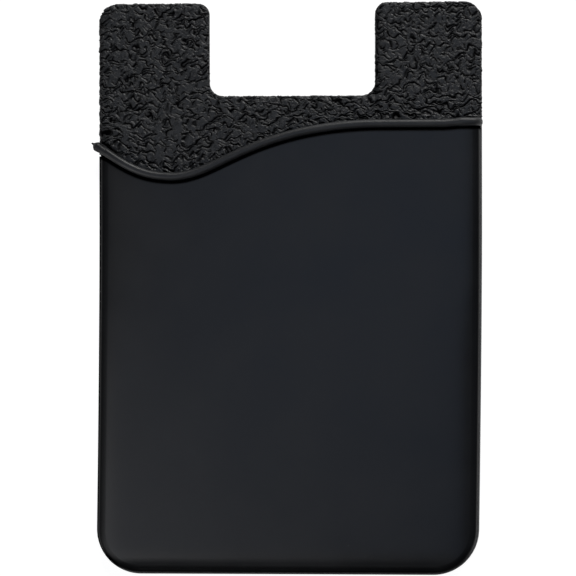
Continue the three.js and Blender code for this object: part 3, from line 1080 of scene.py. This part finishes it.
def white_floor():
    """Wide white floor under the object. It takes the object's shadow, and a little of its own light
    lifts it to white for the camera and in reflections."""
    finish = Finish("floor_white", {"Base Color": FLOOR_GREY, "Roughness": 1.0,
                                    "Specular IOR Level": 0.0, "Emission Color": (1, 1, 1, 1)})
    finish.feed(finish.shader.inputs["Emission Strength"], FLOOR_GLOW * finish.seen_directly())
    mesh = bpy.data.meshes.new("white_floor")
    reach = 3.0
    mesh.from_pydata([(-reach, -reach, 0), (reach, -reach, 0), (reach, reach, 0), (-reach, reach, 0)], [],
                     [(0, 1, 2, 3)])
    floor = bpy.data.objects.new("white_floor", mesh)
    bpy.context.scene.collection.objects.link(floor)
    mesh.materials.append(finish.material)


def studio_world(strength):
    """Dim even surround for light. Where it is seen directly it is white near the horizon, and falls to
    dim from 6 to 10 degrees up."""
    world = bpy.data.worlds.new("studio")
    nodes = Nodes(world)
    upward = nodes.add("ShaderNodeSeparateXYZ", {}, {
        "Vector": nodes.add("ShaderNodeTexCoord").outputs["Generated"]}).outputs["Z"]
    low = 1 - nodes.between(Number(nodes, upward), *HORIZON)
    surround = nodes.add("ShaderNodeBackground", {}, {
        "Color": (1, 1, 1, 1), "Strength": strength + (1 - strength) * nodes.seen_directly() * low})
    nodes.add("ShaderNodeOutputWorld", {}, {"Surface": surround.outputs[0]})
    bpy.context.scene.world = world


def softbox(name, place, target, width, height, power, tint):
    """Rectangular lamp at a place, facing a target, both in metres."""
    lamp = bpy.data.lights.new(name, "AREA")
    lamp.shape = "RECTANGLE"
    lamp.size = width
    lamp.size_y = height
    lamp.energy = power
    lamp.color = tint
    obj = bpy.data.objects.new(name, lamp)
    bpy.context.scene.collection.objects.link(obj)
    towards = np.array(target) - np.array(place)
    turn = Matrix.Identity(3)
    turn.col[2] = -towards / np.linalg.norm(towards)
    side = np.cross((0.0, 1.0, 0.0), np.array(turn.col[2]))
    turn.col[0] = side / np.linalg.norm(side)
    turn.col[1] = np.cross(np.array(turn.col[2]), np.array(turn.col[0]))
    obj.matrix_world = Matrix.Translation(place) @ turn.to_4x4()


white_floor()
studio_world(0.05)
softbox("top_softbox", (0.18, 0.54, 0.36), (0, 0.01, 0), width=0.42, height=0.24, power=4.8,
        tint=(1.0, 0.99, 0.97))
softbox("overhead_softbox", (0.05, 0.02, 0.62), (0, 0, 0), width=0.28, height=0.26, power=0.17,
        tint=(0.70, 0.94, 1.40))
softbox("lower_left_softbox", (-0.25, -0.25, 0.58), (0, 0, 0), width=0.26, height=0.26, power=0.80,
        tint=(1.0, 1.0, 1.02))
softbox("low_left_softbox", (-0.44, -0.34, 0.38), (0, 0, 0), width=0.26, height=0.26, power=1.2,
        tint=(1.0, 1.0, 1.0))

# Place in metres, length of the lens in millimetres, and turn about Y, X and Z in degrees
CAMERA_PLACE = (0.01252, 0.00154, 0.3)
CAMERA_LENS = 124.37
CAMERA_TURN = (2.459, -0.277, -0.09)


def photo_camera():
    """Camera straight over the part as it lies, moved to the right and turned a little to look back."""
    camera = bpy.data.cameras.new("photo_camera")
    camera.sensor_width = 36.0
    camera.lens = CAMERA_LENS
    camera.clip_start = 0.01
    camera.clip_end = 20.0
    obj = bpy.data.objects.new("photo_camera", camera)
    bpy.context.scene.collection.objects.link(obj)
    pan, tilt, roll = (math.radians(angle) for angle in CAMERA_TURN)
    turn = Matrix.Rotation(pan, 4, "Y") @ Matrix.Rotation(tilt, 4, "X") @ Matrix.Rotation(roll, 4, "Z")
    obj.matrix_world = Matrix.Translation(CAMERA_PLACE) @ turn
    bpy.context.scene.camera = obj


photo_camera()
bpy.context.scene.view_settings.view_transform = "Standard"
